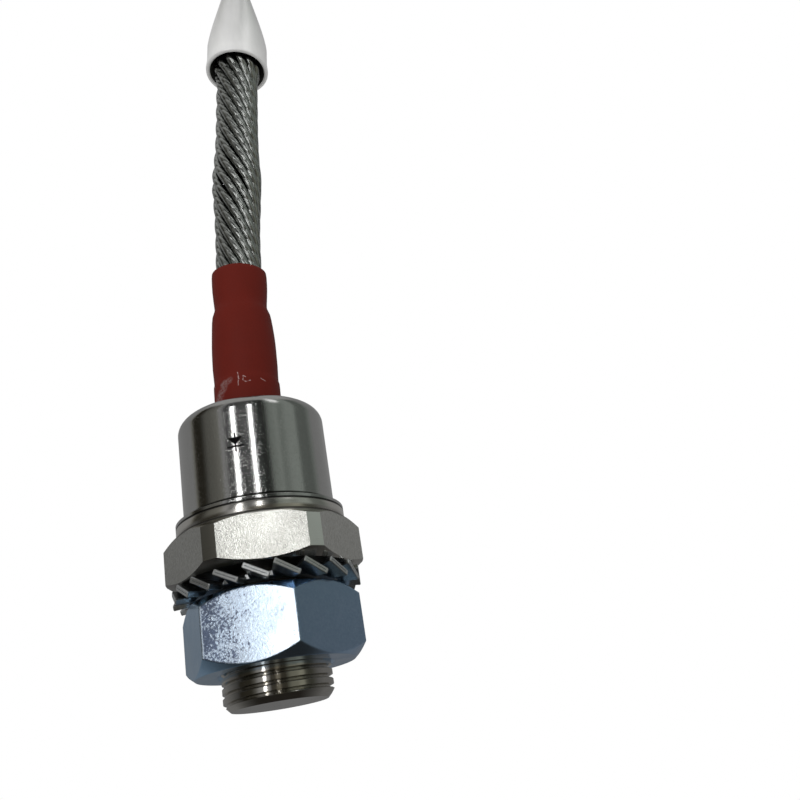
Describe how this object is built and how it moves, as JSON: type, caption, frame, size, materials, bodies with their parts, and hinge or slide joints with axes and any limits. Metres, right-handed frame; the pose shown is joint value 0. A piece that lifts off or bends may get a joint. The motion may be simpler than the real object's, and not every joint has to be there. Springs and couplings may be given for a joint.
{
  "type": "stud rectifier diode",
  "caption": "Stud-mounted rectifier diode with a hexagon base, sealed metal can, stranded lead and flat terminal lug, with its lock washer and nut.",
  "frame": {"origin": "centre of the hexagon base's seating face, on the stud's axis", "axes": "+Z along the stud's axis from the seating face towards the lead and lug; +X through a corner of the base's hexagon, on the side that the lead leans to; -Y out of the flat of the hexagon that faces the viewer"},
  "size_m": [0.0352, 0.0332, 0.1787],
  "materials": {
    "plated_base": "nickel plate over copper, half bright, with turning marks",
    "plated_can": "bright nickel plate on drawn steel",
    "steel": "plain machined steel",
    "spring_steel": "smooth spring steel",
    "molybdenum": "ground molybdenum",
    "silicon": "polished silicon",
    "white_rubber": "cast silicone rubber",
    "copper": "bare copper",
    "mica": "matte insulating board",
    "seal_glass": "dark sealing glass",
    "tinned_copper": "bright tin plate over copper",
    "lead_wire": "tinned copper strands, greyed",
    "red_rubber": "dull silicone rubber with pale scuffs",
    "washer_steel": "spring steel, plated, half bright",
    "plated_nut": "bluish zinc plate"
  },
  "bodies": {
    "root": {"base_stud": "plated_base", "weld_ring": "steel", "can": "plated_can", "spring_cup": "steel", "lower_plate": "molybdenum", "silicon_wafer": "silicon", "edge_coat": "white_rubber", "upper_plate": "molybdenum", "contact_post": "copper", "insulating_washer": "mica", "guide_sleeve": "mica", "pressure_washer": "steel", "disc_spring_low": "spring_steel", "disc_spring_mid": "spring_steel", "disc_spring_top": "spring_steel", "retaining_ring": "spring_steel", "inner_lead": "copper", "seal_eyelet": "steel", "seal_glass": "seal_glass", "terminal_tube": "tinned_copper", "lead_core": "lead_wire", "lead_strands": "lead_wire", "red_sleeve": "red_rubber", "lug": "tinned_copper", "lock_washer": "washer_steel", "nut": "plated_nut"}
  },
  "joints": []
}
